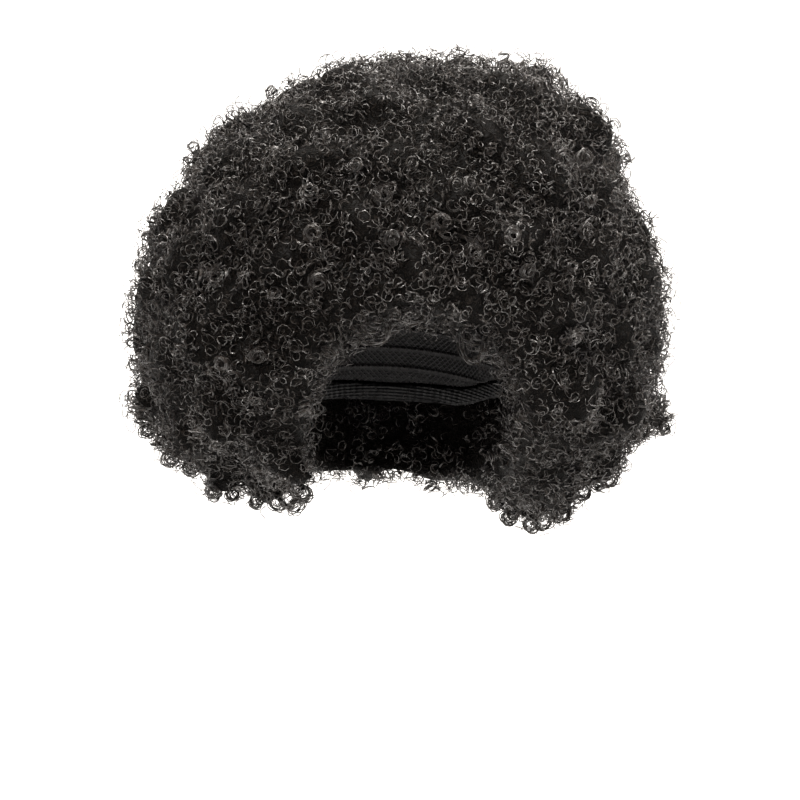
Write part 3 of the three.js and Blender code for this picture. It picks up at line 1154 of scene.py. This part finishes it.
class WIG_OT_elastic(bpy.types.Operator):
    """Finish the elastic round the cap's edge"""

    bl_idname = "wig.elastic"
    bl_label = "Elastic edge"

    def execute(self, context):
        edge = smooth_copy("rim_band", "elastic_edge", elastic_finish(context.scene.wig_cap))
        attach(edge, "root")
        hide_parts("rim_band")
        return {"FINISHED"}


def lamp(name, place, size, power, aim=HEAD_CENTRE):
    """A soft square light, a little warm, that points at the wig."""
    light = bpy.data.lights.new(name, "AREA")
    light.size = size
    light.energy = power
    light.color = (1.0, 0.95, 0.90)
    thing = bpy.data.objects.new(name, light)
    bpy.context.scene.collection.objects.link(thing)
    thing.location = place
    thing.rotation_mode = "QUATERNION"
    thing.rotation_quaternion = (aim - Vector(place)).to_track_quat("-Z", "Y")


def backdrop(height):
    """A round pale floor that runs up into a low wall all the way round."""
    flat = 5.0
    bend = 1.6
    wall = 3.0
    bend_steps = 12
    profile = [(0.05, 0.0), (1.0, 0.0), (flat, 0.0)]
    for step in range(1, bend_steps + 1):
        angle = math.radians(90 * step / bend_steps)
        profile.append((flat + bend * math.sin(angle), bend * (1 - math.cos(angle))))
    profile.append((flat + bend, wall))
    sides = 64
    corners = [
        (out * math.cos(math.tau * k / sides), out * math.sin(math.tau * k / sides), up + height)
        for out, up in profile
        for k in range(sides)
    ]
    faces = [tuple(range(sides))]
    for row in range(len(profile) - 1):
        for k in range(sides):
            here = row * sides + k
            beside = row * sides + (k + 1) % sides
            faces.append((here, here + sides, beside + sides, beside))
    mesh = bpy.data.meshes.new("floor")
    mesh.from_pydata(corners, [], faces)
    mesh.shade_smooth()
    floor = bpy.data.objects.new("floor", mesh)
    bpy.context.scene.collection.objects.link(floor)
    material, sketch = finish("Pale floor")
    surface(
        sketch,
        {
            "Base Color": (0.86, 0.86, 0.86, 1.0),
            "Roughness": 0.7,
            "Emission Color": (1.0, 1.0, 1.0, 1.0),
            "Emission Strength": 0.2,
        },
    )
    mesh.materials.append(material)
    return floor


def white_world():
    """A dim white light from all round."""
    world = bpy.data.worlds.new("Studio")
    world.use_nodes = True
    sky = world.node_tree.nodes["Background"].inputs
    sky["Color"].default_value = (1.0, 1.0, 1.0, 1.0)
    sky["Strength"].default_value = 0.12
    return world


def aimed_camera(sizes):
    """The camera, with the wig in view as the settings of the stage say."""
    back = Vector(
        (
            math.sin(sizes.azimuth) * math.cos(sizes.elevation),
            -math.cos(sizes.azimuth) * math.cos(sizes.elevation),
            math.sin(sizes.elevation),
        )
    )
    turn = (-back).to_track_quat("-Z", "Y")
    camera = bpy.data.cameras.new("camera")
    camera.lens = 150
    camera.sensor_width = 36
    camera.clip_start = 0.05
    camera.clip_end = 40
    thing = bpy.data.objects.new("camera", camera)
    bpy.context.scene.collection.objects.link(thing)
    up = turn @ Vector((0.0, 1.0, 0.0))
    thing.location = HEAD_CENTRE - up * sizes.drop + back * sizes.distance
    thing.rotation_mode = "QUATERNION"
    thing.rotation_quaternion = turn @ Quaternion((0.0, 0.0, 1.0), sizes.roll)
    return thing


class WIG_OT_stage(bpy.types.Operator):
    """Set up the floor, the lights and the camera"""

    bl_idname = "wig.stage"
    bl_label = "Stage"

    def execute(self, context):
        sizes = context.scene.wig_stage
        backdrop(sizes.floor)
        context.scene.world = white_world()
        lamp("key", (-0.8, -1.35, 1.6), 0.40, 98)
        lamp("fill", (1.9, -0.4, 0.9), 0.40, 48)
        lamp("top", (0.1, 0.3, 1.5), 0.7, 42)
        lamp("backdrop", (0.0, 2.6, 2.0), 3.0, 90, Vector((0.0, 2.9, sizes.floor)))
        lamp("far wall", (0.0, 3.4, 1.9), 3.0, 130, Vector((0.0, 6.2, 0.2)))
        context.scene.camera = aimed_camera(sizes)
        context.scene.view_settings.view_transform = "Standard"
        return {"FINISHED"}


class WIG_PT_parts(bpy.types.Panel):
    """The wig's parts, each with its sizes"""

    bl_idname = "WIG_PT_parts"
    bl_label = "Wig"
    bl_space_type = "VIEW_3D"
    bl_region_type = "UI"
    bl_category = "Wig"

    def draw(self, context):
        for settings, operators in (
            (context.scene.wig_hair, ("wig.fleece", "wig.curls", "wig.loose_curls")),
            (context.scene.wig_cap, ("wig.cap", "wig.elastic")),
            (context.scene.wig_stage, ("wig.stage",)),
        ):
            box = self.layout.box()
            for key in settings.__annotations__:
                box.prop(settings, key)
            for name in operators:
                box.operator(name)


CLASSES = (
    WigHairSettings,
    WigCapSettings,
    WigStageSettings,
    WIG_OT_fleece,
    WIG_OT_curls,
    WIG_OT_loose_curls,
    WIG_OT_cap,
    WIG_OT_elastic,
    WIG_OT_stage,
    WIG_PT_parts,
)


def register():
    for item in CLASSES:
        bpy.utils.register_class(item)
    bpy.types.Scene.wig_hair = PointerProperty(type=WigHairSettings)
    bpy.types.Scene.wig_cap = PointerProperty(type=WigCapSettings)
    bpy.types.Scene.wig_stage = PointerProperty(type=WigStageSettings)


def unregister():
    del bpy.types.Scene.wig_stage
    del bpy.types.Scene.wig_cap
    del bpy.types.Scene.wig_hair
    for item in reversed(CLASSES):
        bpy.utils.unregister_class(item)


def main():
    """Makes every piece."""
    register()
    bpy.ops.wig.stage()
    bpy.ops.wig.cap()
    bpy.ops.wig.elastic()
    bpy.ops.wig.fleece()
    bpy.ops.wig.curls()
    bpy.ops.wig.loose_curls()


if __name__ == "__main__":
    main()
